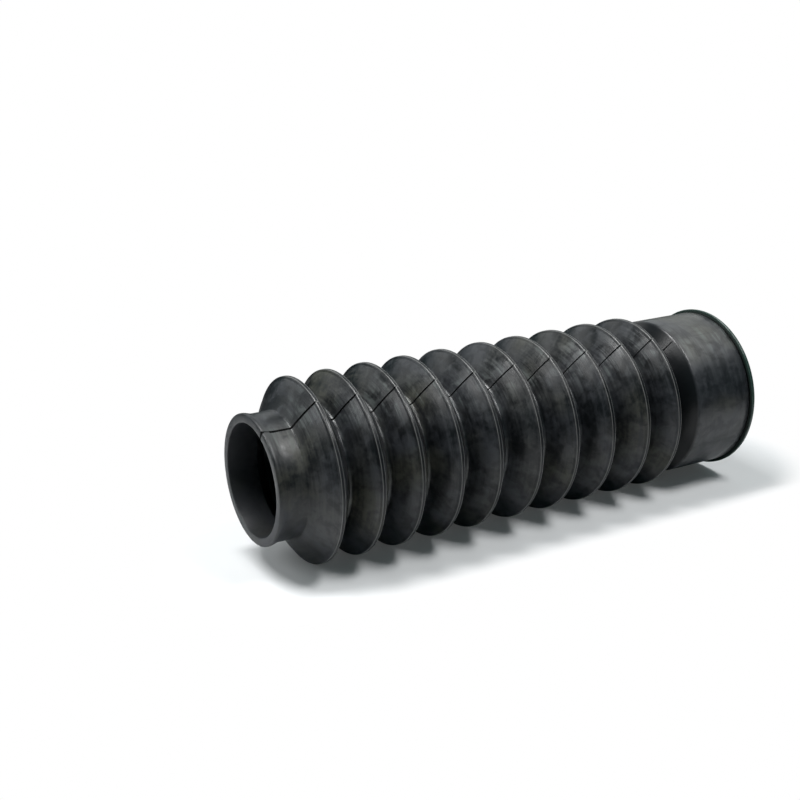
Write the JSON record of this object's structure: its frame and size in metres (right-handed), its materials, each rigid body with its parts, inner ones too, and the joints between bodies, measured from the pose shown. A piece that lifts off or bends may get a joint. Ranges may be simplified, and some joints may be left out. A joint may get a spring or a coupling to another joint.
{
  "type": "fork gaiter",
  "caption": "One-piece moulded rubber bellows that covers a motorbike fork tube, with a narrow cuff for a clamp band at the top and a wide cuff that goes over the slider at the bottom.",
  "frame": {"origin": "centre of the wide cuff's end face, on the surface that the gaiter stands on", "axes": "+Z along the gaiter's axis, from the wide cuff at the bottom to the narrow cuff at the top; X and Y are square to the axis"},
  "size_m": [0.068, 0.068, 0.2062],
  "materials": {
    "rubber": "satin black moulded rubber with a faint grey bloom"
  },
  "bodies": {
    "root": {"gaiter": "rubber"}
  },
  "joints": []
}
